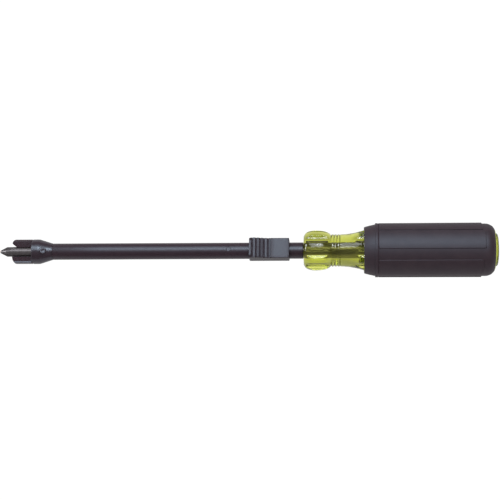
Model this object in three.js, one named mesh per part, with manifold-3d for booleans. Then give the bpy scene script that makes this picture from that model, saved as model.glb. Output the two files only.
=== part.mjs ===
// Screw-holding screwdriver. A tube slides on a Phillips blade and carries two jaws past the tip,
// where they hold a screw by its head. A spring inside the tube draws it back to the handle.
// Millimetres. X runs along the tool, from the tip at the origin to the butt. +Z is the thumb side.
import * as THREE from "three";
import { mergeVertices } from "three/addons/utils/BufferGeometryUtils.js";
import Module from "manifold-3d";

const wasm = await Module();
wasm.setup();

// Clearances
const PRESS_GAP = 0.1; // radial, between pieces that are pressed or moulded together
const RUN_GAP = 0.3; // radial, between pieces that slide or turn on each other
const END_GAP = 0.3; // between end faces that rest on each other
const PIN_GAP = 0.15; // radial, between a fixed pin and its hole

// Fineness
const WELD = 1e-4;
const ROUND_SIDES = 40; // sides of a turned piece
const PIN_SIDES = 18;
const CURVE_STEPS = 5; // steps in one curved stretch of an outline
const WIRE_SIDES = 5;
const WIRE_STEPS = 12; // steps in one turn of wire
const PAST = 1; // how far a cutter runs past the face that it cuts

// Blade
const SHANK_LENGTH = 177.8; // tip to handle
const BLADE_RADIUS = 2.85;
const TIP_RADIUS = 0.75;
const TIP_CONE_LENGTH = 4.1;
const TIP_FLUTE_ROOT = 0.55; // distance from the axis to the bottom of a flute, at the tip
const TIP_FLUTE_LENGTH = 9; // where a flute has run out
const TIP_FLUTE_ANGLE = 92;
const TIP_WING_TURN = -18; // of one wing, from +Z towards +Y
const TIP_WINGS = 4;
const TANG_DEPTH = 74; // of the blade in the handle
const TANG_WING_LENGTH = 14;
const TANG_WING_END = 8; // bare bar behind the wings
const TANG_WING_SPAN = 4.3; // from the axis
const TANG_WING_HALF_THICKNESS = 1.2;

// Tube and what runs between it and the blade
const SPRING_WIRE = 0.65;
const SPRING_ROOM = 0.28; // radial, on both sides of the return spring
const SPRING_LENGTH = 40;
const SPRING_TURNS = 12;
const TUBE_WALL = 0.7;
const COLLAR_LENGTH = 4.5;
const COLLAR_PIN_RADIUS = 0.8;
const BUSH_LENGTH = 7;
const TAIL_BUSH_LENGTH = 7;
const KEY_SETBACK = 43.9; // from the handle to the key pin
const KEY_RADIUS = 1.25;
const KEYWAY_DEPTH = 1.2;
const STROKE = 12; // of the tube on the blade

// Jaws
const JAW_SETBACK = 7.5; // from the tip to the nose of the jaws
const JAW_LENGTH = 11.35; // in front of the head
const JAW_NOSE_LENGTH = 1.5; // of the rounding at the nose
const JAW_NOSE_HEIGHT = 2.05; // of the same rounding
const JAW_STEP = 0.05; // the jaws stand this much inside the head's outline
const JAW_TURN = -7; // degrees, of the jaw pins from +Z towards +Y
const LIP_LENGTH = 3.5;
const LIP_FUNNEL = 1.1; // lead-in at the mouth of the lips
const LIP_BEVEL_RISE = 0.68; // of the bevelled jaw's nose, for each millimetre along
const LIP_BEVEL_LENGTH = 1.5;
const POCKET_WALL = 1.85; // of a jaw beside the pocket for the screw head
const POCKET_SLOPE = 0.8; // length of the slope at the back of the pocket
const SLOT_ROOM = 0.55; // from the blade to the side of the slot between the jaws
const TAIL_WALL = 2.35; // of the half rings inside the head
const TAIL_END_TAPER = 1; // less radius at the end of the tails
const TAIL_LENGTH = 8.45;
const TAIL_HALF_GAP = 0.3; // from the middle plane to a tail
const JAW_BACK_GAP = 0.55; // between jaws and head, for the swing
const SWING_ROOM = 0.65; // between tails and head, for the swing
const RING_WIRE = 0.8; // of the spring round the tails
const RING_AT = 2.1; // from the rim of the head
const RING_OPENING = 40; // degrees
const RING_ROOM = 0.5; // under the ring, for the swing

// Head
const HEAD_WALL = 0.95;
const HEAD_RIM_LENGTH = 3.8;
const HEAD_CONE_LENGTH = 7.7;
const HEAD_SPIGOT_LENGTH = 8;
const HEAD_CAVITY_LENGTH = 8.3;
const HEAD_CAVITY_TAPER = 1.25;
const PIVOT_DEPTH = 6.6; // from the rim of the head to the jaw pins
const PIVOT_RADIUS = 1.1;
const PIVOT_PROUD = 0.12;

// Thumb slide
const SLIDE_SETBACK = 8.45; // from the handle
const SLIDE_LENGTH = 23.25;
const SLIDE_WALL = 1.07;
const SLIDE_TOP_WALL = 2.34;
const RAMP_LENGTH = 9.4;
const RAMP_RISE = 1.8;
const RAMP_CHAMFER = 1.1;
const GROOVE_START = 1.85; // from the front of the slide to the first groove
const GROOVE_PITCH = 2.26;
const GROOVE_COUNT = 5;
const GROOVE_WIDTH = 1.1;
const GROOVE_DEPTH = 0.6;
const SHOULDER_AT = 12.6; // from the front of the slide to the smooth flat
const SHOULDER_GROOVE_WIDTH = 0.6;
const SLIDE_PIN_RADIUS = 1;
const SLIDE_PIN_SETBACK = 6.5; // from the back of the slide

// Handle core
const BOLSTER_LENGTH = 16;
const BOLSTER_FRONT_LENGTH = 7; // to its widest place
const BOLSTER_RADIUS = 11.75;
const BOLSTER_FACE_RADIUS = 8.8;
const NECK_RADIUS = 8.95; // between the rings
const NECK_RING_HEIGHT = 0.5;
const NECK_RING_WIDTH = 0.8;
const NECK_RING_PITCH = 1.75;
const NECK_RING_COUNT = 3;
const NECK_FLARE_LENGTH = 14;
const MOUTH_RADIUS = 11.85; // where the core enters the grip
const CORE_RADIUS = 12.2; // inside the grip
const CORE_SWELL_LENGTH = 5; // from the mouth radius to the core radius
const CORE_TAPER_LENGTH = 5; // from the core radius to the butt radius
const BUTT_RADIUS = 9.65;
const BUTT_STAND = 1.8; // out of the grip
const BUTT_ROUND = 0.7;
const FLUTE_COUNT = 8;
const FLUTE_FLOOR = 10.28; // from the axis
const FLUTE_CUTTER_RADIUS = 4;

// Cushion grip
const GRIP_LENGTH = 76.3;
const GRIP_WALL = 3.2;
const GRIP_END_ROUND = 5.5; // length of the rounding at the butt
const GRIP_COLLAR_LENGTH = 6.5;
const GRIP_COLLAR_WALL = 1.85; // at the mouth
const GRIP_COLLAR_DIP = 0.3; // of the collar's end below the grip's surface
const GRIP_COLLAR_EDGE = 0.5;
const GRIP_RING_LENGTH = 1.8;
const GRIP_MOUTH_WALL = 0.6; // of the rubber round the butt
const PANEL_HEIGHT = 0.57;
const PANEL_END = 7.5; // from the panels to the butt end of the grip
const PANEL_ROOT = 0.4; // of a panel in the grip's surface
const PANEL_WIDTH = 45; // degrees
const CHANNEL_WIDTH = 22.5; // degrees, between two panels
const PANEL_LINE = 2.4; // degrees, of the line between two panels side by side
const PANEL_TURN = 78.1; // of the first panel's edge, from +Z towards +Y
const PANEL_STEPS = 8;

// Radii that follow
const springRadius = BLADE_RADIUS + SPRING_ROOM + SPRING_WIRE / 2;
const tubeBore = BLADE_RADIUS + 2 * SPRING_ROOM + SPRING_WIRE;
const tubeRadius = tubeBore + TUBE_WALL;
const guideBore = BLADE_RADIUS + RUN_GAP;
const tailInner = guideBore + PRESS_GAP;
const tailOuter = tailInner + TAIL_WALL;
const headCavity = tailOuter + SWING_ROOM;
const headRadius = headCavity + HEAD_WALL;
const jawRadius = headRadius - JAW_STEP;
const pocketRadius = jawRadius - POCKET_WALL;
const slotHalf = BLADE_RADIUS + SLOT_ROOM;
const lipBore = BLADE_RADIUS + PRESS_GAP;
const slideHalfWidth = tubeRadius + SLIDE_WALL;
const slideTop = tubeRadius + SLIDE_TOP_WALL;
const gripRadius = CORE_RADIUS + GRIP_WALL;
const gripMouth = BUTT_RADIUS + PRESS_GAP;

// Places along the tool that follow
const jawBack = JAW_SETBACK + JAW_LENGTH;
const lipBack = JAW_SETBACK + LIP_LENGTH;
const headStart = jawBack + JAW_BACK_GAP;
const coneStart = headStart + HEAD_RIM_LENGTH;
const headEnd = coneStart + HEAD_CONE_LENGTH;
const pivotAt = headStart + PIVOT_DEPTH;
const tubeEnd = SHANK_LENGTH - END_GAP;
const keyAt = SHANK_LENGTH - KEY_SETBACK;
const bushStart = keyAt - BUSH_LENGTH / 2;
const springStart = bushStart - END_GAP - SPRING_LENGTH;
const collarStart = springStart - END_GAP - COLLAR_LENGTH;
const slideBack = SHANK_LENGTH - SLIDE_SETBACK;
const slideFront = slideBack - SLIDE_LENGTH;
const slidePinAt = slideBack - SLIDE_PIN_SETBACK;
const bladeEnd = SHANK_LENGTH + TANG_DEPTH;
const bolsterEnd = SHANK_LENGTH + BOLSTER_LENGTH;
const neckStart = bolsterEnd + NECK_RING_COUNT * NECK_RING_PITCH;
const gripStart = neckStart + NECK_FLARE_LENGTH;
const gripEnd = gripStart + GRIP_LENGTH;
const buttEnd = gripEnd + BUTT_STAND;

const radians = THREE.MathUtils.degToRad;
const depthAlongX = new THREE.Matrix4().makeBasis(
  new THREE.Vector3(0, 1, 0),
  new THREE.Vector3(0, 0, 1),
  new THREE.Vector3(1, 0, 0),
);
const turnJaws = (solid) => solid.rotate([-JAW_TURN, 0, 0]);

// A closed geometry as a solid that can be joined and cut.
function solidOf(geometry) {
  const bare = geometry.index ? geometry.toNonIndexed() : geometry.clone();
  bare.deleteAttribute("normal");
  bare.deleteAttribute("uv");
  const welded = mergeVertices(bare, WELD);
  const corners = welded.index.array;
  const kept = [];
  for (let i = 0; i < corners.length; i += 3) {
    const [a, b, c] = corners.slice(i, i + 3);
    if (a !== b && b !== c && c !== a) kept.push(a, b, c);
  }
  const vertProperties = welded.attributes.position.array;
  const triVerts = new Uint32Array(kept);
  return new wasm.Manifold(new wasm.Mesh({ numProp: 3, vertProperties, triVerts }));
}

function geometryOf(solid) {
  const { vertProperties, triVerts } = solid.getMesh();
  const geometry = new THREE.BufferGeometry();
  geometry.setAttribute("position", new THREE.BufferAttribute(vertProperties, 3));
  geometry.setIndex(new THREE.BufferAttribute(triVerts, 1));
  geometry.computeVertexNormals();
  return geometry;
}

// A solid turned about X. The outline's points are (along, radius), with the outside from front to back.
function turned(outline) {
  const points = outline.map(([along, radius]) => new THREE.Vector2(radius, along));
  return solidOf(new THREE.LatheGeometry(points, ROUND_SIDES).rotateZ(-Math.PI / 2));
}

function rod(start, end, radius) {
  return turned([[start, 0], [start, radius], [end, radius], [end, 0]]);
}

function sleeve(start, end, inner, outer) {
  return turned([[start, inner], [start, outer], [end, outer], [end, inner], [start, inner]]);
}

// A round pin along Z, at a place on the axis of the tool.
function pinAlongZ(along, low, high, radius) {
  const pin = new THREE.CylinderGeometry(radius, radius, high - low, PIN_SIDES);
  return solidOf(pin.rotateX(Math.PI / 2).translate(along, 0, (low + high) / 2));
}

// A round pin along Y, through the axis of the tool.
function pinAlongY(along, halfLength, radius) {
  const pin = new THREE.CylinderGeometry(radius, radius, 2 * halfLength, PIN_SIDES);
  return solidOf(pin.translate(along, 0, 0));
}

function block(from, to) {
  const size = to.map((value, i) => value - from[i]);
  const middle = to.map((value, i) => (value + from[i]) / 2);
  return solidOf(new THREE.BoxGeometry(...size).translate(...middle));
}

// An outline in the plane of Y and Z, pushed along X.
function pushedAlongX(shape, start, end) {
  const geometry = new THREE.ExtrudeGeometry(shape, { depth: end - start, bevelEnabled: false });
  return solidOf(geometry.applyMatrix4(depthAlongX).translate(start, 0, 0));
}

// An outline in the plane of X and Z, pushed to both sides along Y.
function pushedAlongY(points, halfWidth) {
  const shape = new THREE.Shape(points.map(([x, z]) => new THREE.Vector2(x, z)));
  const geometry = new THREE.ExtrudeGeometry(shape, { depth: 2 * halfWidth, bevelEnabled: false });
  return solidOf(geometry.rotateX(Math.PI / 2).translate(0, halfWidth, 0));
}

// An outline in the plane of X and Y, pushed to both sides along Z.
function pushedAlongZ(points, halfHeight) {
  const shape = new THREE.Shape(points.map(([x, y]) => new THREE.Vector2(x, y)));
  const geometry = new THREE.ExtrudeGeometry(shape, { depth: 2 * halfHeight, bevelEnabled: false });
  return solidOf(geometry.translate(0, 0, -halfHeight));
}

// The points of a curve with one control point, without its first point.
function curve(start, control, end) {
  const [a, b, c] = [start, control, end].map(([x, y]) => new THREE.Vector2(x, y));
  const points = new THREE.QuadraticBezierCurve(a, b, c).getPoints(CURVE_STEPS);
  return points.slice(1).map((point) => [point.x, point.y]);
}

// A quarter of an ellipse from a start point, without that point.
// It leaves along X if level, else along the radius.
function quarter([x, y], length, rise, level) {
  const points = [];
  for (let i = 1; i <= CURVE_STEPS; i += 1) {
    const angle = (Math.PI / 2) * (i / CURVE_STEPS);
    const along = level ? Math.sin(angle) : 1 - Math.cos(angle);
    const across = level ? 1 - Math.cos(angle) : Math.sin(angle);
    points.push([x + length * along, y + rise * across]);
  }
  return points;
}

// The middle line of a coil or ring of wire round X.
class Winding extends THREE.Curve {
  constructor(start, length, radius, firstAngle, turns) {
    super();
    Object.assign(this, { start, length, radius, firstAngle, turns });
  }

  getPoint(share, target = new THREE.Vector3()) {
    const angle = this.firstAngle + 2 * Math.PI * this.turns * share;
    return target.set(
      this.start + this.length * share,
      this.radius * Math.sin(angle),
      this.radius * Math.cos(angle),
    );
  }
}

function wire(winding, diameter) {
  const section = [];
  for (let i = 0; i < WIRE_SIDES; i += 1) {
    const angle = (2 * Math.PI * i) / WIRE_SIDES;
    section.push(new THREE.Vector2(Math.cos(angle), Math.sin(angle)).multiplyScalar(diameter / 2));
  }
  return solidOf(
    new THREE.ExtrudeGeometry(new THREE.Shape(section), {
      steps: Math.ceil(winding.turns * WIRE_STEPS),
      bevelEnabled: false,
      extrudePath: winding,
    }),
  );
}

// Blade: a round bar with a fluted tip, a keyway, a cross hole and two wings that hold it in the handle.
function tangWings(grow) {
  const end = bladeEnd - TANG_WING_END;
  return block(
    [end - TANG_WING_LENGTH - grow, -TANG_WING_SPAN - grow, -TANG_WING_HALF_THICKNESS - grow],
    [end + grow, TANG_WING_SPAN + grow, TANG_WING_HALF_THICKNESS + grow],
  );
}

function tipFlute(turn) {
  const depth = 2 * BLADE_RADIUS;
  const half = depth * Math.tan(radians(TIP_FLUTE_ANGLE / 2));
  const section = new THREE.Shape([
    new THREE.Vector2(0, 0),
    new THREE.Vector2(half, depth),
    new THREE.Vector2(-half, depth),
  ]);
  const slope = Math.atan2(BLADE_RADIUS - TIP_FLUTE_ROOT, TIP_FLUTE_LENGTH);
  const length = TIP_FLUTE_LENGTH + 2 * PAST;
  const cutter = new THREE.ExtrudeGeometry(section, { depth: length, bevelEnabled: false });
  cutter.applyMatrix4(depthAlongX).translate(-PAST, 0, 0).rotateY(-slope).translate(0, 0, TIP_FLUTE_ROOT);
  return solidOf(cutter.rotateX(-turn));
}

function driverBlade() {
  let blade = turned([
    [0, 0],
    [0, TIP_RADIUS],
    [TIP_CONE_LENGTH, BLADE_RADIUS],
    [bladeEnd, BLADE_RADIUS],
    [bladeEnd, 0],
  ]);
  const quarterTurn = (2 * Math.PI) / TIP_WINGS;
  for (let i = 0; i < TIP_WINGS; i += 1) {
    const turn = radians(TIP_WING_TURN) + (i + 0.5) * quarterTurn;
    blade = blade.subtract(tipFlute(turn));
  }
  const keyRoom = KEY_RADIUS + PIN_GAP;
  const keyway = block(
    [keyAt - STROKE - keyRoom - END_GAP, -keyRoom, BLADE_RADIUS - KEYWAY_DEPTH],
    [keyAt + keyRoom + END_GAP, keyRoom, BLADE_RADIUS + PAST],
  );
  const crossHole = pinAlongY(collarStart + COLLAR_LENGTH / 2, 2 * BLADE_RADIUS, COLLAR_PIN_RADIUS + PIN_GAP);
  return blade.add(tangWings(0)).subtract(keyway).subtract(crossHole);
}

// Collar on the blade that the return spring stands on, with its cross pin.
const collarRadius = tubeBore - RUN_GAP;

function springCollar() {
  const collar = sleeve(collarStart, collarStart + COLLAR_LENGTH, BLADE_RADIUS + PRESS_GAP, collarRadius);
  const hole = pinAlongY(collarStart + COLLAR_LENGTH / 2, 2 * collarRadius, COLLAR_PIN_RADIUS + PIN_GAP);
  return collar.subtract(hole);
}

function collarPin() {
  return pinAlongY(collarStart + COLLAR_LENGTH / 2, collarRadius - PIN_GAP, COLLAR_PIN_RADIUS);
}

function returnSpring() {
  const half = SPRING_WIRE / 2;
  const winding = new Winding(springStart + half, SPRING_LENGTH - SPRING_WIRE, springRadius, 0, SPRING_TURNS);
  return wire(winding, SPRING_WIRE);
}

// Tube, with a hole for the key pin on the thumb side and one for the slide's pin below.
function gripperTube() {
  return sleeve(headEnd + PRESS_GAP, tubeEnd, tubeBore, tubeRadius)
    .subtract(pinAlongZ(keyAt, 0, 2 * tubeRadius, KEY_RADIUS + PIN_GAP))
    .subtract(pinAlongZ(slidePinAt, -2 * tubeRadius, 0, SLIDE_PIN_RADIUS + PIN_GAP));
}

function springBush() {
  return sleeve(bushStart, bushStart + BUSH_LENGTH, guideBore, tubeBore - PRESS_GAP)
    .subtract(pinAlongZ(keyAt, 0, 2 * tubeRadius, KEY_RADIUS + PIN_GAP));
}

function keyPin() {
  const foot = BLADE_RADIUS - KEYWAY_DEPTH + RUN_GAP;
  const flush = Math.sqrt(tubeRadius ** 2 - KEY_RADIUS ** 2);
  return pinAlongZ(keyAt, foot, flush, KEY_RADIUS);
}

function tailBush() {
  return sleeve(tubeEnd - TAIL_BUSH_LENGTH, tubeEnd, guideBore, tubeBore - PRESS_GAP);
}

// Flared head: a rim round the jaw tails, a cone, and a spigot in the front of the tube.
function headSurface(along) {
  return headRadius + ((tubeRadius - headRadius) * (along - coneStart)) / HEAD_CONE_LENGTH;
}

function jawHead() {
  const spigot = tubeBore - PRESS_GAP;
  const cavityEnd = headStart + HEAD_CAVITY_LENGTH;
  const head = turned([
    [headStart, headCavity],
    [headStart, headRadius],
    [coneStart, headRadius],
    [headEnd, tubeRadius],
    [headEnd, spigot],
    [headEnd + HEAD_SPIGOT_LENGTH, spigot],
    [headEnd + HEAD_SPIGOT_LENGTH, guideBore],
    [cavityEnd, guideBore],
    [cavityEnd, headCavity - HEAD_CAVITY_TAPER],
    [coneStart, headCavity],
    [headStart, headCavity],
  ]);
  return head.subtract(pinAlongZ(pivotAt, -2 * headRadius, 2 * headRadius, PIVOT_RADIUS + PIN_GAP));
}

function jawPin(side) {
  const inner = guideBore;
  const outer = headSurface(pivotAt) + PIVOT_PROUD;
  return side > 0
    ? pinAlongZ(pivotAt, inner, outer, PIVOT_RADIUS)
    : pinAlongZ(pivotAt, -outer, -inner, PIVOT_RADIUS);
}

// Jaws: a lip at the nose, a pocket for the screw head, and a half ring that turns on the pins in the head.
function jawBlank() {
  const nose = [JAW_SETBACK, jawRadius - JAW_NOSE_HEIGHT];
  const tailEnd = jawBack + TAIL_LENGTH;
  const pocketBack = jawBack - POCKET_SLOPE;
  const blank = turned([
    [JAW_SETBACK, lipBore + LIP_FUNNEL],
    nose,
    ...quarter(nose, JAW_NOSE_LENGTH, JAW_NOSE_HEIGHT, false),
    [jawBack, jawRadius],
    [jawBack, tailOuter],
    [coneStart, tailOuter],
    [tailEnd, tailOuter - TAIL_END_TAPER],
    [tailEnd, tailInner],
    [pocketBack, tailInner],
    [pocketBack - POCKET_SLOPE, pocketRadius],
    [lipBack, pocketRadius],
    [lipBack, lipBore],
    [JAW_SETBACK + LIP_FUNNEL, lipBore],
    [JAW_SETBACK, lipBore + LIP_FUNNEL],
  ]);
  const ringGroove = sleeve(
    headStart + RING_AT - RING_WIRE / 2 - PIN_GAP,
    headStart + RING_AT + RING_WIRE / 2 + PIN_GAP,
    ringRadius - RING_WIRE / 2 - RING_ROOM,
    headRadius,
  );
  const pinRoom = pinAlongZ(pivotAt, -2 * headRadius, 2 * headRadius, PIVOT_RADIUS + RUN_GAP);
  return blank.subtract(ringGroove).subtract(pinRoom);
}

// What is left of the blank on one side of the blade: 1 is the bevelled jaw's side, -1 the square one's.
function jawOnSide(side) {
  const reach = 2 * headRadius;
  const slotEnd = headStart + JAW_BACK_GAP;
  const spans = [
    [JAW_SETBACK - PAST, slotEnd, slotHalf],
    [slotEnd, jawBack + TAIL_LENGTH + PAST, TAIL_HALF_GAP],
  ];
  let jaw = jawBlank();
  for (const [start, end, edge] of spans) {
    const from = side > 0 ? -reach : -edge;
    const to = side > 0 ? edge : reach;
    jaw = jaw.subtract(block([start, from, -reach], [end, to, reach]));
  }
  return jaw;
}

// One jaw's nose is cut to a wedge by a bevel at its mouth.
function bevelledJaw() {
  const back = JAW_SETBACK + LIP_BEVEL_LENGTH;
  const front = JAW_SETBACK - PAST;
  const high = slotHalf + LIP_BEVEL_RISE * (LIP_BEVEL_LENGTH + PAST);
  const bevel = pushedAlongZ([[front, 0], [back, 0], [back, slotHalf], [front, high]], 2 * headRadius);
  return jawOnSide(1).subtract(bevel);
}

const ringRadius = tailOuter - RING_WIRE / 4;

function jawSpring() {
  const opening = radians(RING_OPENING);
  const turns = 1 - opening / (2 * Math.PI);
  const firstAngle = Math.PI + opening / 2;
  return wire(new Winding(headStart + RING_AT, 0, ringRadius, firstAngle, turns), RING_WIRE);
}

// Thumb slide: a collar with a round belly, flat sides and a flat top, whose front rises to a grooved ramp.
function slideTopCutter() {
  const ramp = (along) => slideTop + RAMP_RISE * Math.max(0, 1 - along / RAMP_LENGTH);
  const high = 2 * slideTop;
  const line = [
    [-PAST, high],
    [-PAST, slideTop + RAMP_RISE - RAMP_CHAMFER - PAST],
    [RAMP_CHAMFER, ramp(RAMP_CHAMFER)],
  ];
  for (let i = 0; i < GROOVE_COUNT; i += 1) {
    const middle = GROOVE_START + i * GROOVE_PITCH;
    line.push([middle - GROOVE_WIDTH / 2, ramp(middle - GROOVE_WIDTH / 2)]);
    line.push([middle, ramp(middle) - GROOVE_DEPTH]);
    line.push([middle + GROOVE_WIDTH / 2, ramp(middle + GROOVE_WIDTH / 2)]);
  }
  line.push([SHOULDER_AT - SHOULDER_GROOVE_WIDTH, ramp(SHOULDER_AT - SHOULDER_GROOVE_WIDTH)]);
  line.push([SHOULDER_AT - SHOULDER_GROOVE_WIDTH / 2, slideTop - GROOVE_DEPTH]);
  line.push([SHOULDER_AT, slideTop], [SLIDE_LENGTH + PAST, slideTop], [SLIDE_LENGTH + PAST, high]);
  return pushedAlongY(line.map(([along, z]) => [slideFront + along, z]), 2 * slideHalfWidth);
}

function thumbSlide() {
  const top = slideTop + RAMP_RISE;
  const section = new THREE.Shape();
  section.moveTo(slideHalfWidth, top);
  section.lineTo(-slideHalfWidth, top);
  section.lineTo(-slideHalfWidth, 0);
  section.absarc(0, 0, slideHalfWidth, Math.PI, 2 * Math.PI, false);
  section.closePath();
  return pushedAlongX(section, slideFront, slideBack)
    .subtract(rod(slideFront - PAST, slideBack + PAST, tubeRadius + PRESS_GAP))
    .subtract(pinAlongZ(slidePinAt, -2 * slideHalfWidth, 0, SLIDE_PIN_RADIUS + PIN_GAP))
    .subtract(slideTopCutter());
}

function slidePin() {
  return pinAlongZ(slidePinAt, -slideHalfWidth, -tubeBore - PIN_GAP, SLIDE_PIN_RADIUS);
}

// Handle core: a fluted bar, turned down to a bolster, a ringed neck and a butt.
function underGrip(grow) {
  const swellEnd = gripStart + CORE_SWELL_LENGTH;
  const taperEnd = gripEnd - GRIP_END_ROUND / 2;
  return [
    [gripStart, MOUTH_RADIUS + grow],
    [swellEnd, CORE_RADIUS + grow],
    [taperEnd - CORE_TAPER_LENGTH, CORE_RADIUS + grow],
    [taperEnd, BUTT_RADIUS + grow],
  ];
}

function flutes(shrink) {
  const radius = FLUTE_CUTTER_RADIUS - shrink;
  const length = buttEnd - SHANK_LENGTH + 2 * PAST;
  let all = null;
  for (let i = 0; i < FLUTE_COUNT; i += 1) {
    const turn = ((i + 0.5) * 2 * Math.PI) / FLUTE_COUNT;
    const cutter = new THREE.CylinderGeometry(radius, radius, length, ROUND_SIDES / 2);
    cutter.rotateZ(Math.PI / 2);
    cutter.translate(SHANK_LENGTH - PAST + length / 2, 0, FLUTE_FLOOR + FLUTE_CUTTER_RADIUS);
    const flute = solidOf(cutter.rotateX(-turn));
    all = all ? all.add(flute) : flute;
  }
  return all;
}

function neckRings() {
  const points = [];
  for (let i = 0; i < NECK_RING_COUNT; i += 1) {
    const middle = bolsterEnd + (i + 0.5) * NECK_RING_PITCH;
    points.push([middle - NECK_RING_WIDTH / 2, NECK_RADIUS + NECK_RING_HEIGHT]);
    points.push([middle + NECK_RING_WIDTH / 2, NECK_RADIUS + NECK_RING_HEIGHT]);
    points.push([middle + NECK_RING_PITCH / 2, NECK_RADIUS]);
  }
  return points;
}

function handleCore() {
  const face = [SHANK_LENGTH, BOLSTER_FACE_RADIUS];
  const widest = [SHANK_LENGTH + BOLSTER_FRONT_LENGTH, BOLSTER_RADIUS];
  const flareRadius = NECK_RADIUS + NECK_RING_HEIGHT;
  const flareStart = [neckStart, flareRadius];
  const core = turned([
    [SHANK_LENGTH, 0],
    face,
    ...curve(face, [SHANK_LENGTH + BOLSTER_FRONT_LENGTH / 5, BOLSTER_RADIUS], widest),
    ...curve(widest, [bolsterEnd - BOLSTER_LENGTH / 9, BOLSTER_RADIUS], [bolsterEnd, NECK_RADIUS]),
    ...neckRings(),
    flareStart,
    ...curve(flareStart, [neckStart + NECK_FLARE_LENGTH / 2, flareRadius], underGrip(0)[0]),
    ...underGrip(0).slice(1),
    [buttEnd - BUTT_ROUND, BUTT_RADIUS],
    ...quarter([buttEnd - BUTT_ROUND, BUTT_RADIUS], BUTT_ROUND, -BUTT_ROUND, true),
    [buttEnd, 0],
  ]);
  const bladeHole = rod(SHANK_LENGTH - PAST, bladeEnd + END_GAP, BLADE_RADIUS + PRESS_GAP);
  return core.subtract(flutes(0)).subtract(bladeHole).subtract(tangWings(PRESS_GAP));
}

// Cushion grip: a rubber sleeve moulded into the flutes of the core.
// Raised panels run back from a ring of the same height.
function gripPanel(startAngle, endAngle, start, end) {
  const points = [];
  const arc = (radius, from, to) => {
    for (let i = 0; i <= PANEL_STEPS; i += 1) {
      const angle = radians(from + ((to - from) * i) / PANEL_STEPS);
      points.push(new THREE.Vector2(radius * Math.sin(angle), radius * Math.cos(angle)));
    }
  };
  arc(gripRadius + PANEL_HEIGHT, startAngle, endAngle);
  arc(gripRadius - PANEL_ROOT, endAngle, startAngle);
  return pushedAlongX(new THREE.Shape(points), start, end);
}

// Around the grip, each half turn has two panels side by side, a channel, a panel and a channel.
function gripPanels(start, end) {
  const halfTurn = [PANEL_WIDTH, PANEL_WIDTH, CHANNEL_WIDTH, PANEL_WIDTH, CHANNEL_WIDTH];
  const panels = [];
  let edge = PANEL_TURN;
  for (const width of [...halfTurn, ...halfTurn]) {
    if (width !== CHANNEL_WIDTH) {
      panels.push(gripPanel(edge - PANEL_LINE / 2, edge - width + PANEL_LINE / 2, start, end));
    }
    edge -= width;
  }
  return panels;
}

function cushionGrip() {
  const collarEnd = gripStart + GRIP_COLLAR_LENGTH;
  const ringEnd = collarEnd + GRIP_RING_LENGTH;
  const collarTop = MOUTH_RADIUS + GRIP_COLLAR_WALL;
  const roundStart = [gripEnd - GRIP_END_ROUND, gripRadius];
  const mouthEdge = gripMouth + GRIP_MOUTH_WALL;
  const outside = turned([
    [gripStart, 0],
    [gripStart, collarTop - GRIP_COLLAR_EDGE],
    [gripStart + GRIP_COLLAR_EDGE, collarTop],
    [collarEnd, gripRadius - GRIP_COLLAR_DIP],
    [collarEnd, gripRadius + PANEL_HEIGHT],
    [ringEnd, gripRadius + PANEL_HEIGHT],
    [ringEnd, gripRadius],
    roundStart,
    ...quarter(roundStart, GRIP_END_ROUND, mouthEdge - gripRadius, true),
    [gripEnd, 0],
  ]);
  const bore = turned([
    [gripStart - PAST, 0],
    [gripStart - PAST, MOUTH_RADIUS + PRESS_GAP],
    ...underGrip(PRESS_GAP),
    [gripEnd + PAST, gripMouth],
    [gripEnd + PAST, 0],
  ]);
  let grip = outside;
  for (const panel of gripPanels(ringEnd, gripEnd - PANEL_END)) {
    grip = grip.add(panel);
  }
  return grip.subtract(bore.subtract(flutes(PRESS_GAP)));
}

// Materials
const bareSteel = { color: 0x83878b, roughness: 0.35, metalness: 0.9 };
const blackSteel = { color: 0x33292d, roughness: 0.38, metalness: 0.6 };
const springSteel = { color: 0x8a8d90, roughness: 0.35, metalness: 0.9 };
const bronze = { color: 0x9a7a4a, roughness: 0.45, metalness: 0.8 };
const acetate = { color: 0xb4bd22, roughness: 0.15, metalness: 0, transparent: true, opacity: 0.75 };
const rubber = { color: 0x3c3134, roughness: 0.7, metalness: 0 };

const screwdriver = new THREE.Group();

function place(name, solid, finish) {
  const mesh = new THREE.Mesh(geometryOf(solid), new THREE.MeshStandardMaterial(finish));
  mesh.name = name;
  screwdriver.add(mesh);
}

place("driver_blade", driverBlade(), bareSteel);
place("spring_collar", springCollar(), bareSteel);
place("collar_pin", collarPin(), bareSteel);
place("return_spring", returnSpring(), springSteel);
place("handle_core", handleCore(), acetate);
place("cushion_grip", cushionGrip(), rubber);
place("gripper_tube", gripperTube(), blackSteel);
place("spring_bush", springBush(), bronze);
place("key_pin", keyPin(), blackSteel);
place("tail_bush", tailBush(), bronze);
place("jaw_head", turnJaws(jawHead()), blackSteel);
place("jaw_pin_top", turnJaws(jawPin(1)), blackSteel);
place("jaw_pin_bottom", turnJaws(jawPin(-1)), blackSteel);
place("jaw_spring", turnJaws(jawSpring()), springSteel);
place("bevelled_jaw", turnJaws(bevelledJaw()), blackSteel);
place("square_jaw", turnJaws(jawOnSide(-1)), blackSteel);
place("thumb_slide", thumbSlide(), blackSteel);
place("slide_pin", slidePin(), blackSteel);

export default screwdriver;
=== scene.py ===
import math

import bmesh
import bpy
import numpy as np
from mathutils import Matrix, Vector

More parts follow.
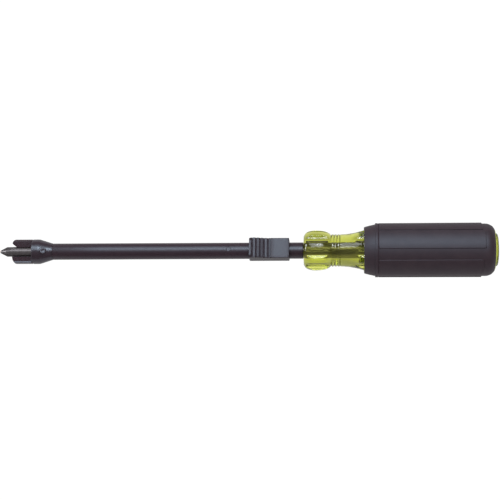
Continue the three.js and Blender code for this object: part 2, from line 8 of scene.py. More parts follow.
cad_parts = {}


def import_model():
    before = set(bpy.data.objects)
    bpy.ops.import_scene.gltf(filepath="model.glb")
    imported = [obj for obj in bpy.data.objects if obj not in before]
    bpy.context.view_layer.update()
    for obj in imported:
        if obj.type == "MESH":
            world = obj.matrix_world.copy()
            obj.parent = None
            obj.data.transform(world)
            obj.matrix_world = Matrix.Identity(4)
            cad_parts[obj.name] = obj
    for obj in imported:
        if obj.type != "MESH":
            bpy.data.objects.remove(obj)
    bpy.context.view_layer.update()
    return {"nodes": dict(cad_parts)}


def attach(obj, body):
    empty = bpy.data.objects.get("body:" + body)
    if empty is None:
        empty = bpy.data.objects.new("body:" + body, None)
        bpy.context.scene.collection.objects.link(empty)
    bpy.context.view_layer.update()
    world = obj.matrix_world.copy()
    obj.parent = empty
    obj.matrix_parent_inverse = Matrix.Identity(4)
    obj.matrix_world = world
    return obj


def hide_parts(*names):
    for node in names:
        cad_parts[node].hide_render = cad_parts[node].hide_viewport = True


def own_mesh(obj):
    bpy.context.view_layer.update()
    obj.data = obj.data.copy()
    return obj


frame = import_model()

# Sizes in millimetres, as in the solids. Angles in degrees go round the axis from +Z towards +Y.
MM = 0.001
FAR = 15
UNCUT = 99.0

# Blade: a cross tip, a keyway for the tube's key pin and a thicker tang in the handle
BLADE_RADIUS = 2.85
BLADE_END = 251.8
BLADE_CHAMFER = 0.4
TANG_RADIUS = 3.2
TANG_FOOT = 0.35
TANG_FULL = 0.7
TIP_RADIUS = 0.75
TIP_CONE = 4.1
FLUTE_ROOT = 0.55
FLUTE_LENGTH = 9.0
FLUTE_HALF_ANGLE = 46.0
WING_SOFTNESS = 0.05
WING_TURN = -18.0
KEY_AT = 133.9
KEYWAY_HALF = 1.4
KEYWAY_FLOOR = 1.65
KEYWAY_TOP = 4
KEYWAY_FORWARD = 13.7
KEYWAY_BACK = 1.7

# Tube, its key pin and the pin of the slide
TUBE_RADIUS = 4.76
TUBE_BORE = 4.06
TUBE_START = 31.0
TUBE_END = 177.5
TUBE_EDGE = 0.25
KEY_HOLE = 1.3
KEY_RADIUS = 1.25
KEY_FOOT = 1.95
KEY_TOP = 4.66
SLIDE_PIN_AT = 162.85
SLIDE_PIN_HOLE = 1.15
SLIDE_PIN_RADIUS = 1.0
SLIDE_PIN_SPAN = (-5.8, -4.21)

# Head, the jaws' pivots and their rivet heads
HEAD_START = 19.4
HEAD_SHOULDER = 22.6
HEAD_CONE = 23.2
HEAD_END = 30.9
HEAD_RADIUS = 7.2
HEAD_CAVITY = 6.25
CAVITY_END = 27.7
CAVITY_END_RADIUS = 5.0
CONE_FRONT = (24.2, 6.88)
SPIGOT_RADIUS = 3.96
SPIGOT_END = 38.9
GUIDE_BORE = 3.15
PIVOT_AT = 26.0
PIVOT_TOP = 5.6
PIVOT_RADIUS = 1.1
PIVOT_HOLE = 1.25
PIVOT_ROOM = 1.4
RIVET_RADIUS = 1.92
RIVET_DEPTH = 0.28
RIVET_BEAD = 1.42
RIVET_EDGE = 0.05
RIVET_CROWN = 0.35
DISH_WIDTH = 0.9
DISH_DEPTH = 0.1

# Jaws: a nose is the length and rise of its rounding, an edge the points (out, depth) along a flat
JAW_TURN = -7.0
JAW_START = 7.25
JAW_BACK = 18.85
JAW_RADIUS = 7.15
JAW_CORNER = 0.1
JAW_HALF_DEPTH = 2.3
FLAT_END = 19.12
LIP_CONE = 1.1
LIP_BORE = 2.95
LIP_BACK = 11.7
LIP_SLOPE = 0.4
JAW_POCKET = 3.3
POCKET_BACK = 17.25
POCKET_SLOPE = 0.8
SLOT_HALF = 3.05
SLOT_END = 19.95
TAIL_RADIUS = 5.6
TAIL_BORE = 3.25
TAIL_END = 27.3
TAIL_END_RADIUS = 4.6
TAIL_GAP = 0.3
RING_GROOVE = (20.5, 22.05)
RING_GROOVE_RADII = (4.5, 8)
SQUARE_NOSE = (2.4, 3.85)
SQUARE_EDGE = [(5.85, JAW_HALF_DEPTH), (6.6, 2.57)]
BEVELLED_NOSE = (1.9, 2.2)
BEVELLED_EDGE = [(5.95, JAW_HALF_DEPTH), (7.1, 0.9)]
BEVEL_SETBACK = 0.2
BEVEL_SLOT_HALF = 2.4
BEVEL_LENGTH = 2.6
BEVEL_RISE = 0.8

# Springs
COIL_START = 90.43
COIL_LENGTH = 39.35
COIL_RADIUS = 3.455
COIL_WIRE = 0.65
COIL_TURNS = 12
RING_SPRING_AT = 21.5
RING_SPRING_RADIUS = 5.4
RING_SPRING_WIRE = 0.8
RING_SPRING_OPENING = 40

# Handle core
HANDLE_START = 177.8
BOLSTER_WIDEST = (184.8, 11.75)
BOLSTER_END = 193.8
BEAD_COUNT = 3
BEAD_PITCH = 1.75
BEAD_HALF = 0.86
BEAD_FOOT = 8.95
BEAD_HEIGHT = 0.5
BEAD_STEEPNESS = 1.9
NECK_START = 199.05
NECK_RADIUS = 9.43
CORE_RADIUS = 12.2
CORE_FLUTES = 8
FLUTE_CUTTER = 4.0
FLUTE_CENTRE = 14.28
FLUTE_SOFTNESS = 0.09
BUTT_RADIUS = 9.65
BUTT_EDGE = 0.7
BUTT_END = 291.15
BORE_FIT = 0.02

# Grip: lands of 45 degrees and channels of 22.5 degrees, mirrored on the far half
GRIP_START = 213.05
GRIP_END = 289.75
GRIP_RADIUS = 15.4
GRIP_FIT = 0.1
GRIP_ROUND = (5.9, 5.05)
BOND_RADIUS = 12.4
PANEL_HEIGHT = 0.57
PANEL_TAPER = 0.12
TAPER_LENGTH = 60
LAND_START = 221.35
LAND_END = 281.85
LONG_LAND_END = 283.2
NEAR_LANDS = [(33.1, 78.1, LAND_END), (-11.9, 33.1, LONG_LAND_END), (-79.4, -34.4, LAND_END)]
LANDS = NEAR_LANDS + [(a + 180, b + 180, end) for a, b, end in NEAR_LANDS]
LAND_GAP = 0.3
LAND_SLOPE = 0.22
LAND_CORNER = 0.6
LAND_STEPS = (0.06, 0.12, 0.2, 0.28, 0.36, 0.45, 0.6, 0.9, 1.4)
LAND_TURNS = (0.4, 0.7, 1.0, 1.3, 1.6, 1.9, 2.2, 2.6)

# Thumb slide. SHOULDER_GROOVE has points (off, depth), FRONT_CORNER the cut's length, inner edge and drop.
SLIDE_FRONT = 146.1
SLIDE_BACK = 169.35
SLIDE_LENGTH = SLIDE_BACK - SLIDE_FRONT
SLIDE_HALF = 5.95
SLIDE_TOP = 7.1
SLIDE_FIT = 0.1
RAMP_LENGTH = 9.6
RAMP_RISE = 1.75
RAMP_CURVE = 1.7
CORNER = 0.3
END_CHAMFER = 0.2
GROOVE_COUNT = 5
GROOVE_FIRST = 1.9
GROOVE_PITCH = 2.26
GROOVE_HALF = 0.6
GROOVE_DEPTH = 0.62
GROOVE_CURVE = 0.8
SHOULDER = 12.6
SHOULDER_GROOVE = [(-0.6, 0), (-0.55, 0.05), (-0.45, 0.6), (-0.1, 0.6), (0, 0.04), (0.1, 0)]
FRONT_CORNER = (2.9, 3.1, 1.5)


# Meshes
def ring(along, radius, angles):
    radius = np.broadcast_to(np.asarray(radius, float), angles.shape)
    return np.column_stack([np.full(len(angles), along), radius * np.sin(angles), radius * np.cos(angles)])


def pole(along):
    return np.array([[along, 0.0, 0.0]])


def even_angles(count):
    return np.arange(count) * 2 * math.pi / count


def skin(name, rings, closed=False):
    """A mesh object over rings of points. A ring of one point is a pole."""
    starts = np.cumsum([0] + [len(r) for r in rings])
    faces = []
    pairs = list(zip(range(len(rings) - 1), range(1, len(rings))))
    if closed:
        pairs.append((len(rings) - 1, 0))
    for first, second in pairs:
        a, b = starts[first], starts[second]
        count_a, count_b = len(rings[first]), len(rings[second])
        count = max(count_a, count_b)
        for j in range(count):
            k = (j + 1) % count
            if count_a == 1:
                faces.append((a, b + k, b + j))
            elif count_b == 1:
                faces.append((a + j, a + k, b))
            else:
                faces.append((a + j, a + k, b + k, b + j))
    return mesh_object(name, np.vstack(rings), faces)


def mesh_object(name, points, faces):
    mesh = bpy.data.meshes.new(name)
    corners = [tuple(p) for p in np.asarray(points) * MM]
    mesh.from_pydata(corners, [], [tuple(int(i) for i in f) for f in faces])
    work = bmesh.new()
    work.from_mesh(mesh)
    bmesh.ops.recalc_face_normals(work, faces=work.faces)
    work.to_mesh(mesh)
    work.free()
    obj = bpy.data.objects.new(name, mesh)
    bpy.context.scene.collection.objects.link(obj)
    return obj


def lathe(name, outline, sides=96):
    """A turned mesh. The outline's points are (along, radius); it starts and ends on the axis or closes."""
    angles = even_angles(sides)
    rings = [pole(s) if r < 1e-6 else ring(s, r, angles) for s, r in outline]
    return skin(name, rings, closed=outline[0][1] > 1e-6)


def turn_to_z(obj, along):
    """Lays a mesh made along X on the Z axis at a place along the tool."""
    obj.data.transform(Matrix.Translation((along * MM, 0, 0)) @ Matrix.Rotation(-math.pi / 2, 4, "Y"))
    return obj


def pin(along, low, high, radius, sides=48):
    return turn_to_z(lathe("cutter", [(low, 0), (low, radius), (high, radius), (high, 0)], sides), along)


def box(low, high):
    x, y, z = zip(low, high)
    points = [(x[i], y[j], z[k]) for i in (0, 1) for j in (0, 1) for k in (0, 1)]
    faces = [(0, 1, 3, 2), (4, 6, 7, 5), (0, 4, 5, 1), (2, 3, 7, 6), (0, 2, 6, 4), (1, 5, 7, 3)]
    return mesh_object("cutter", points, faces)


def prism(points, axes, low, high):
    """A prism over points in the plane of two axes, between two places on the third."""
    count = len(points)
    corners = np.zeros((2 * count, 3))
    corners[:, axes] = [*points, *points]
    third = 3 - sum(axes)
    corners[:count, third], corners[count:, third] = low, high
    faces = [tuple(range(count)), tuple(range(count, 2 * count))]
    faces += [(i, (i + 1) % count, count + (i + 1) % count, count + i) for i in range(count)]
    return mesh_object("cutter", corners, faces)


def cut(obj, *cutters):
    """Takes the cutters out of a mesh and removes them."""
    for cutter in cutters:
        modifier = obj.modifiers.new("cut", "BOOLEAN")
        modifier.operation = "DIFFERENCE"
        modifier.solver = "EXACT"
        modifier.object = cutter
        graph = bpy.context.evaluated_depsgraph_get()
        obj.data = bpy.data.meshes.new_from_object(obj.evaluated_get(graph))
        obj.modifiers.clear()
        bpy.data.objects.remove(cutter)
    return obj


def arc(centre, size, start, end, steps):
    """Points of an elliptic arc in an outline, from one angle to another."""
    angles = np.radians(np.linspace(start, end, steps + 1))
    return [(centre[0] + size[0] * math.cos(a), centre[1] + size[1] * math.sin(a)) for a in angles]


def bezier(start, control, end, steps):
    """Points of a curve with one control point, without its first point."""
    share = np.linspace(0, 1, steps + 1)[1:, None]
    a, b, c = (np.array(p, float) for p in (start, control, end))
    return [tuple(p) for p in a * (1 - share) ** 2 + 2 * b * share * (1 - share) + c * share**2]


def smooth(x):
    x = np.clip(x, 0, 1)
    return x * x * (3 - 2 * x)


def soft_least(a, b, width):
    """The lesser of two values, rounded where they cross."""
    gap = np.clip((b - a) / width, -40, 40)
    return a - width * np.log1p(np.exp(-gap))


def dress(obj, name, material, body, slot, *nodes, crease=35):
    """Names a piece, gives it its finish and puts it on its body."""
    obj.name = name
    obj.data.name = name
    obj.data.materials.clear()
    obj.data.materials.append(material)
    obj.data.shade_smooth()
    obj.data.set_sharp_from_angle(angle=math.radians(crease))
    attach(obj, body)
    if nodes:
        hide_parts(*nodes)
    return obj


# Materials
class Finish:
    """A node material with a Principled shader and a few helpers."""

    def __init__(self, name):
        self.material = bpy.data.materials.new(name)
        self.material.use_nodes = True
        self.tree = self.material.node_tree
        self.shader = self.tree.nodes["Principled BSDF"]
        self.place = self.add("ShaderNodeTexCoord").outputs["Object"]

    def add(self, kind, **values):
        node = self.tree.nodes.new(kind)
        for key, value in values.items():
            setattr(node, key, value)
        return node

    def link(self, source, target):
        self.tree.links.new(source, target)

    def set(self, **values):
        for key, value in values.items():
            self.shader.inputs[key.replace("_", " ")].default_value = value

    def noise(self, size, detail=3.0, rough=0.55, stretch=(1, 1, 1)):
        """Noise whose patches are about size millimetres across."""
        mapping = self.add("ShaderNodeMapping")
        mapping.inputs["Scale"].default_value = stretch
        self.link(self.place, mapping.inputs["Vector"])
        node = self.add("ShaderNodeTexNoise")
        node.inputs["Scale"].default_value = 1 / (size * MM)
        node.inputs["Detail"].default_value = detail
        node.inputs["Roughness"].default_value = rough
        self.link(mapping.outputs["Vector"], node.inputs["Vector"])
        return node.outputs["Fac"]

    def ramp(self, source, stops):
        node = self.add("ShaderNodeValToRGB")
        while len(node.color_ramp.elements) < len(stops):
            node.color_ramp.elements.new(0.5)
        for element, (place, colour) in zip(node.color_ramp.elements, stops):
            element.position = place
            element.color = (*colour, 1)
        self.link(source, node.inputs["Fac"])
        return node.outputs["Color"]

    def span(self, source, low, high, from_low=0.3, from_high=0.7):
        node = self.add("ShaderNodeMapRange")
        node.inputs["From Min"].default_value = from_low
        node.inputs["From Max"].default_value = from_high
        node.inputs["To Min"].default_value = low
        node.inputs["To Max"].default_value = high
        self.link(source, node.inputs["Value"])
        return node.outputs["Result"]

    def blend(self, factor, first, second):
        """Mixes two colours, each a socket or a plain colour."""
        node = self.add("ShaderNodeMix", data_type="RGBA")
        self.link(factor, node.inputs["Factor"])
        for colour, target in ((first, node.inputs[6]), (second, node.inputs[7])):
            if isinstance(colour, bpy.types.NodeSocket):
                self.link(colour, target)
            else:
                target.default_value = (*colour, 1)
        return node.outputs[2]

    def bump(self, source, depth, edge=0.0):
        """Bump of that depth in millimetres, over edges rounded by a radius in millimetres."""
        node = self.add("ShaderNodeBump")
        node.inputs["Distance"].default_value = depth * MM
        self.link(source, node.inputs["Height"])
        if edge:
            bevel = self.add("ShaderNodeBevel", samples=6)
            bevel.inputs["Radius"].default_value = edge * MM
            self.link(bevel.outputs["Normal"], node.inputs["Normal"])
        self.link(node.outputs["Normal"], self.shader.inputs["Normal"])


def steel_finish():
    """Ground steel, painted brighter and fully metallic inside the handle: a painted highlight standing in
    for the key light that reaches the blade through the clear core.
    """
    finish = Finish("ground_steel")
    marks = finish.noise(0.35, 4, 0.6, (1, 0.15, 0.15))
    patches = finish.noise(2.2, 3)
    colour = finish.ramp(patches, [(0.3, (0.11, 0.096, 0.099)), (0.7, (0.14, 0.124, 0.128))])
    parts = finish.add("ShaderNodeSeparateXYZ")
    finish.link(finish.place, parts.inputs["Vector"])
    # Painted highlight: inside the handle the steel gets a brighter colour and full metal, in place of light
    # that the clear core lets through.
    painted_highlight_in_handle = finish.span(parts.outputs["X"], 0.0, 1.0, (HANDLE_START - 1) * MM, (HANDLE_START + 1) * MM)
    finish.link(finish.blend(painted_highlight_in_handle, colour, (0.23, 0.215, 0.21)), finish.shader.inputs["Base Color"])
    finish.link(finish.span(painted_highlight_in_handle, 0.45, 1.0, 0, 1), finish.shader.inputs["Metallic"])
    finish.link(finish.span(marks, 0.32, 0.4), finish.shader.inputs["Roughness"])
    finish.bump(marks, 0.003, 0.12)
    return finish.material


def black_finish(name, grain, grain_depth, dark, light, rough, gloss):
    """Blackened steel with a grain of that size and depth in millimetres."""
    finish = Finish(name)
    patches = finish.noise(3.5, 4)
    grains = finish.noise(grain, 4, 0.65)
    colour = finish.ramp(patches, [(0.3, dark), (0.7, light)])
    finish.link(colour, finish.shader.inputs["Base Color"])
    finish.link(finish.span(grains, rough - 0.05, rough + 0.07), finish.shader.inputs["Roughness"])
    finish.set(Specular_IOR_Level=gloss, Specular_Tint=(0.72, 0.86, 1.0, 1))
    finish.bump(grains, grain_depth, 0.15)
    return finish.material


def bronze_finish():
    finish = Finish("bush_bronze")
    marks = finish.noise(0.5, 3)
    colour = finish.ramp(marks, [(0.3, (0.32, 0.2, 0.08)), (0.7, (0.42, 0.28, 0.13))])
    finish.link(colour, finish.shader.inputs["Base Color"])
    finish.link(finish.span(marks, 0.32, 0.45), finish.shader.inputs["Roughness"])
    finish.set(Metallic=0.9)
    finish.bump(marks, 0.01)
    return finish.material


def acetate_finish():
    finish = Finish("clear_acetate")
    ripples = finish.noise(1.1, 3, 0.6, (1, 0.14, 0.14))
    finish.set(Base_Color=(0.97, 0.985, 0.55, 1), Roughness=0.05, IOR=1.47, Transmission_Weight=1.0)
    finish.bump(ripples, 0.06)
    absorb = finish.add("ShaderNodeVolumeAbsorption")
    absorb.inputs["Color"].default_value = (0.82, 0.85, 0.0, 1)
    absorb.inputs["Density"].default_value = 75
    output = finish.tree.nodes["Material Output"]
    finish.link(absorb.outputs["Volume"], output.inputs["Volume"])
    return finish.material


def radius_of(finish):
    """Distance from the axis of the tool, in millimetres."""
    flat = finish.add("ShaderNodeVectorMath", operation="MULTIPLY")
    flat.inputs[1].default_value = (0, 1 / MM, 1 / MM)
    finish.link(finish.place, flat.inputs[0])
    length = finish.add("ShaderNodeVectorMath", operation="LENGTH")
    finish.link(flat.outputs["Vector"], length.inputs[0])
    return length.outputs["Value"]


def rubber_finish():
    """Rubber, painted yellow-green inside the bond radius: painted light standing in for the key light that
    the clear core carries onto its bonded face.
    """
    finish = Finish("grip_rubber")
    patches = finish.noise(6.0, 4)
    grains = finish.noise(0.3, 4, 0.7)
    colour = finish.ramp(patches, [(0.3, (0.041, 0.018, 0.023)), (0.7, (0.050, 0.024, 0.029))])
    # Painted light: inside the bond radius the rubber gets a bright yellow-green colour in place of its
    # black.
    outer = finish.span(radius_of(finish), 0.0, 1.0, BOND_RADIUS, BOND_RADIUS + 0.1)
    finish.link(finish.blend(outer, (0.85, 0.92, 0.10), colour), finish.shader.inputs["Base Color"])
    finish.link(finish.span(grains, 0.5, 0.6), finish.shader.inputs["Roughness"])
    finish.set(Specular_IOR_Level=0.5, Specular_Tint=(0.66, 0.84, 1.0, 1))
    finish.bump(grains, 0.02, 0.1)
    return finish.material


STEEL = steel_finish()
BRONZE = bronze_finish()
BLACK_TUBE = black_finish(
    "black_steel_tube", 0.5, 0.0015, (0.035, 0.0125, 0.019), (0.042, 0.016, 0.024), rough=0.40, gloss=0.62
)
BLACK_JAW = black_finish(
    "black_steel_jaw", 0.6, 0.004, (0.034, 0.013, 0.017), (0.041, 0.017, 0.022), rough=0.2, gloss=0.5
)
BLACK_HEAD = black_finish(
    "black_steel_head", 0.45, 0.012, (0.034, 0.016, 0.022), (0.043, 0.021, 0.029), rough=0.31, gloss=0.8
)
BLACK_SLIDE = black_finish(
    "black_steel_slide", 0.4, 0.015, (0.036, 0.018, 0.024), (0.045, 0.024, 0.031), rough=0.42, gloss=0.5
)
ACETATE = acetate_finish()
RUBBER = rubber_finish()


# Blade
def tip_radius(along, angles):
    """Radius of the blade's tip: a cone with four V flutes that run out along the bar."""
    cone = TIP_RADIUS + (BLADE_RADIUS - TIP_RADIUS) * along / TIP_CONE
    full = np.full(angles.shape, min(BLADE_RADIUS, cone))
    root = FLUTE_ROOT + (BLADE_RADIUS - FLUTE_ROOT) * along / FLUTE_LENGTH
    slope = 1 / math.tan(math.radians(FLUTE_HALF_ANGLE))
    for i in range(4):
        off = angles - math.radians(WING_TURN + 45 + 90 * i)
        reach = np.cos(off) - np.abs(np.sin(off)) * slope
        flute = np.where(reach > 0.02, root / np.maximum(reach, 0.02), UNCUT)
        full = soft_least(full, flute, WING_SOFTNESS)
    return full


def blade():
    angles = even_angles(160)
    rings = [pole(0.0)]
    for along in np.concatenate([np.linspace(0, 0.25, 3), np.linspace(0.5, 9.6, 52)]):
        rings.append(ring(along, tip_radius(along, angles), angles))
    for along in (10.5, 40, 85, 120, 140, 175, HANDLE_START + TANG_FOOT):
        rings.append(ring(along, BLADE_RADIUS, angles))
    for along in (HANDLE_START + TANG_FULL, 205, 230, BLADE_END - BLADE_CHAMFER):
        rings.append(ring(along, TANG_RADIUS, angles))
    rings += [ring(BLADE_END, TANG_RADIUS - BLADE_CHAMFER, angles), pole(BLADE_END)]
    obj = skin("blade", rings)
    low = (KEY_AT - KEYWAY_FORWARD, -KEYWAY_HALF, KEYWAY_FLOOR)
    high = (KEY_AT + KEYWAY_BACK, KEYWAY_HALF, KEYWAY_TOP)
    cut(obj, box(low, high))
    return dress(obj, "blade", STEEL, "driver", "tool_steel", "driver_blade")


# Jaws, head and tube
def turn_jaws(obj):
    """Turns a piece of the jaw set from the thumb side to where its pins are."""
    obj.data.transform(Matrix.Rotation(math.radians(-JAW_TURN), 4, "X"))
    return obj


def jaw(side, name, node, body):
    """One jaw: a turned sleeve cut down to its side. Side 1 has the bevelled nose, side -1 the square one."""
    bevelled = side > 0
    start = JAW_START + BEVEL_SETBACK if bevelled else JAW_START
    length, rise = BEVELLED_NOSE if bevelled else SQUARE_NOSE
    outline = arc((start + length, JAW_RADIUS - rise), (length, rise), 180, 90, 14)
    outline += [(JAW_BACK - JAW_CORNER, JAW_RADIUS), (JAW_BACK, JAW_RADIUS - JAW_CORNER)]
    outline += [(JAW_BACK, TAIL_RADIUS), (HEAD_CONE, TAIL_RADIUS)]
    outline += [(TAIL_END, TAIL_END_RADIUS), (TAIL_END, TAIL_BORE)]
    outline += [(POCKET_BACK + POCKET_SLOPE, TAIL_BORE), (POCKET_BACK, JAW_POCKET)]
    outline += [(LIP_BACK + LIP_SLOPE, JAW_POCKET), (LIP_BACK, LIP_BORE), (start + LIP_CONE, LIP_BORE)]
    obj = lathe(name, outline, 160)

    front, back = RING_GROOVE
    inner, outer = RING_GROOVE_RADII
    groove = [(front, inner), (front, outer), (back, outer), (back, inner)]
    cutters = [lathe("cutter", groove, 96), pin(PIVOT_AT, -FAR, FAR, PIVOT_ROOM)]
    slot_half = BEVEL_SLOT_HALF if bevelled else SLOT_HALF
    before, behind = 5, 30
    for front, back, half in ((before, SLOT_END, slot_half), (SLOT_END, behind, TAIL_GAP)):
        low, high = (-FAR, half) if bevelled else (-half, FAR)
        cutters.append(box((front, low, -FAR), (back, high, FAR)))
    edge = BEVELLED_EDGE if bevelled else SQUARE_EDGE
    flat = [(0, JAW_HALF_DEPTH), *edge, (FAR, edge[-1][1]), (FAR, FAR), (0, FAR)]
    for facing in (-1, 1):
        cutters.append(prism([(side * y, facing * z) for y, z in flat], (1, 2), before, FLAT_END))
    if bevelled:
        front, back = start - 1, start + BEVEL_LENGTH
        high = slot_half + BEVEL_RISE * (back - front)
        cutters.append(prism([(front, 0), (back, 0), (back, slot_half), (front, high)], (0, 1), -FAR, FAR))
    turn_jaws(cut(obj, *cutters))
    return dress(obj, name, BLACK_JAW, body, "black_steel", node, crease=28)


def set_on_cone(obj, side):
    """Lays a mesh made along X on the head's cone over a pivot, square to the cone."""
    slope = (CONE_FRONT[1] - TUBE_RADIUS) / (HEAD_END - CONE_FRONT[0])
    height = CONE_FRONT[1] - slope * (PIVOT_AT - CONE_FRONT[0])
    place = Matrix.Translation((PIVOT_AT * MM, 0, height * MM))
    obj.data.transform(place @ Matrix.Rotation(math.atan(slope) - math.pi / 2, 4, "Y"))
    if side < 0:
        obj.data.transform(Matrix.Rotation(math.pi, 4, "X"))
    return obj


def head():
    outline = [(HEAD_START, HEAD_CAVITY), (HEAD_START, HEAD_RADIUS - 0.2), (HEAD_START + 0.25, HEAD_RADIUS)]
    outline.append((HEAD_SHOULDER, HEAD_RADIUS))
    outline += bezier(outline[-1], (HEAD_CONE + 0.2, HEAD_RADIUS), CONE_FRONT, 6)
    outline += [(HEAD_END, TUBE_RADIUS), (HEAD_END, SPIGOT_RADIUS)]
    outline += [(SPIGOT_END, SPIGOT_RADIUS), (SPIGOT_END, GUIDE_BORE)]
    outline += [(CAVITY_END, GUIDE_BORE), (CAVITY_END, CAVITY_END_RADIUS), (HEAD_CONE, HEAD_CAVITY)]
    obj = lathe("head", outline, 128)
    bottom, wall, top = -RIVET_DEPTH - 0.03, RIVET_RADIUS + 0.05, 3
    seat = [(bottom, 0), (bottom, wall), (top, wall), (top, 0)]
    seats = [set_on_cone(lathe("cutter", seat, 48), side) for side in (1, -1)]
    turn_jaws(cut(obj, pin(PIVOT_AT, -FAR, FAR, PIVOT_HOLE), *seats))
    return dress(obj, "head", BLACK_HEAD, "gripper", "black_steel", "jaw_head")


def pivot_pin(side, name, node):
    """A pivot of the jaws and its dished rivet head on the cone."""
    outline = [(GUIDE_BORE, 0), (GUIDE_BORE, PIVOT_RADIUS), (PIVOT_TOP, PIVOT_RADIUS), (PIVOT_TOP, 0)]
    if side < 0:
        outline = [(-s, r) for s, r in outline]
    obj = turn_jaws(turn_to_z(lathe(name, outline, 48), PIVOT_AT))
    dress(obj, name, BLACK_HEAD, "gripper", "black_steel", node)
    dish = RIVET_CROWN - DISH_DEPTH
    bead = arc((RIVET_BEAD, RIVET_EDGE), (RIVET_RADIUS - RIVET_BEAD, RIVET_CROWN - RIVET_EDGE), 0, 90, 8)
    bead += arc((RIVET_BEAD, dish), (DISH_WIDTH, DISH_DEPTH), 90, 180, 8)
    crown = [(-RIVET_DEPTH, 0), (-RIVET_DEPTH, RIVET_RADIUS), *((s, r) for r, s in bead), (dish - 0.01, 0)]
    rivet_head = turn_jaws(set_on_cone(lathe(name + "_head", crown, 64), side))
    dress(rivet_head, name + "_head", BLACK_HEAD, "gripper", "black_steel")


def tube():
    outline = [(TUBE_START, TUBE_BORE), (TUBE_START, TUBE_RADIUS - 0.05), (TUBE_START + 0.1, TUBE_RADIUS)]
    outline += [(s, TUBE_RADIUS) for s in (60, 100, 140, TUBE_END - TUBE_EDGE)]
    outline += [(TUBE_END, TUBE_RADIUS - TUBE_EDGE), (TUBE_END, TUBE_BORE)]
    outline += [(s, TUBE_BORE) for s in (140, 100, 60)]
    obj = lathe("tube", outline, 128)
    cut(obj, pin(KEY_AT, 0, FAR, KEY_HOLE), pin(SLIDE_PIN_AT, -FAR, 0, SLIDE_PIN_HOLE))
    return dress(obj, "tube", BLACK_TUBE, "gripper", "black_steel", "gripper_tube")


def key():
    outline = [(KEY_FOOT, 0), (KEY_FOOT, KEY_RADIUS - 0.15), (KEY_FOOT + 0.15, KEY_RADIUS)]
    outline += [(KEY_TOP - 0.1, KEY_RADIUS), (KEY_TOP, KEY_RADIUS - 0.13), (KEY_TOP, 0)]
    obj = turn_to_z(lathe("key", outline, 48), KEY_AT)
    return dress(obj, "key", BLACK_TUBE, "gripper", "black_steel", "key_pin")


def rivet():
    low, high = SLIDE_PIN_SPAN
    outline = [(low, 0), (low, SLIDE_PIN_RADIUS - 0.1), (low + 0.1, SLIDE_PIN_RADIUS)]
    outline += [(high - 0.09, SLIDE_PIN_RADIUS), (high, SLIDE_PIN_RADIUS - 0.1), (high, 0)]
    obj = turn_to_z(lathe("rivet", outline, 48), SLIDE_PIN_AT)
    return dress(obj, "rivet", BLACK_SLIDE, "gripper", "black_steel", "slide_pin")


def coil(name, start, length, radius, wire, turns, steps, first=0.0):
    """A wire wound round X, as a mesh tube."""
    sections = even_angles(12)
    rings = []
    count = int(turns * steps)
    for i in range(count + 1):
        share = i / count
        angle = first + 2 * math.pi * turns * share
        centre = np.array([start + length * share, radius * math.sin(angle), radius * math.cos(angle)])
        out = np.array([0, math.sin(angle), math.cos(angle)])
        section = np.outer(np.cos(sections), out) + np.outer(np.sin(sections), [1, 0, 0])
        rings.append(centre + wire / 2 * section)
    first_centre, last_centre = rings[0].mean(0)[None], rings[-1].mean(0)[None]
    return skin(name, [first_centre, *rings, last_centre])


def springs():
    spring = coil("coil_spring", COIL_START, COIL_LENGTH, COIL_RADIUS, COIL_WIRE, COIL_TURNS, 36)
    dress(spring, "coil_spring", STEEL, "driver", "spring_steel", "return_spring")
    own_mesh(spring)
    opening = math.radians(RING_SPRING_OPENING)
    turns, first = 1 - opening / (2 * math.pi), math.pi + opening / 2
    loop = coil("ring_spring", RING_SPRING_AT, 0, RING_SPRING_RADIUS, RING_SPRING_WIRE, turns, 96, first)
    dress(turn_jaws(loop), "ring_spring", STEEL, "gripper", "spring_steel", "jaw_spring")


# Thumb slide
def ramp_top(along):
    return SLIDE_TOP + RAMP_RISE * max(0.0, 1 - (along / RAMP_LENGTH) ** RAMP_CURVE)


def slide_stations():
    """Places along the slide and the height of its top there."""
    places = [(0, ramp_top(0) - 0.75), (0.5, ramp_top(0) - 0.4)]
    places += [(1.0, ramp_top(1.0) - 0.08), (1.15, ramp_top(1.15))]
    for i in range(GROOVE_COUNT):
        middle = GROOVE_FIRST + GROOVE_PITCH * i
        for off in np.linspace(-GROOVE_HALF, GROOVE_HALF, 9):
            depth = 0
            if abs(off) < GROOVE_HALF - 0.01:
                depth = GROOVE_DEPTH * math.cos(math.pi * off / (2 * GROOVE_HALF)) ** GROOVE_CURVE
            places.append((middle + off, ramp_top(middle + off) - depth))
    places += [(SHOULDER + off, SLIDE_TOP - depth) for off, depth in SHOULDER_GROOVE]
    places += [(15, SLIDE_TOP), (19, SLIDE_TOP), (SLIDE_LENGTH - 0.3, SLIDE_TOP)]
    places += [(SLIDE_LENGTH - 0.1, SLIDE_TOP - 0.08), (SLIDE_LENGTH, SLIDE_TOP - 0.3)]
    return places


def slide_section(top, shrink):
    """The slide's outline across the tool, as points (y, z)."""
    half = SLIDE_HALF - shrink
    right = arc((half - CORNER, top - CORNER), (CORNER, CORNER), 0, 90, 6)
    across = [(y, top) for y in np.linspace(half - CORNER, CORNER - half, 9)[1:-1]]
    left = [(-y, z) for y, z in reversed(right)]
    side = [(half, z) for z in np.linspace(0, top - CORNER, 8)[:-1]]
    belly = arc((0, 0), (half, half), 180, 360, 40)[1:-1]
    return np.array(side + right + across + left + [(-y, z) for y, z in reversed(side)] + belly)


def corner_cutter(corners):
    """A wedge beyond a plane through three corners, much larger than the triangle between them."""
    depth, widening = 4, 4
    points = np.array(corners, float)
    middle = points.mean(0)
    out = np.cross(points[1] - points[0], points[2] - points[0])
    out *= depth / np.linalg.norm(out)
    if out[2] < 0:
        out = -out
    wide = middle + widening * (points - middle)
    faces = [(0, 1, 2), (0, 1, 3), (1, 2, 3), (2, 0, 3)]
    return mesh_object("cutter", np.vstack([wide, middle + out]), faces)


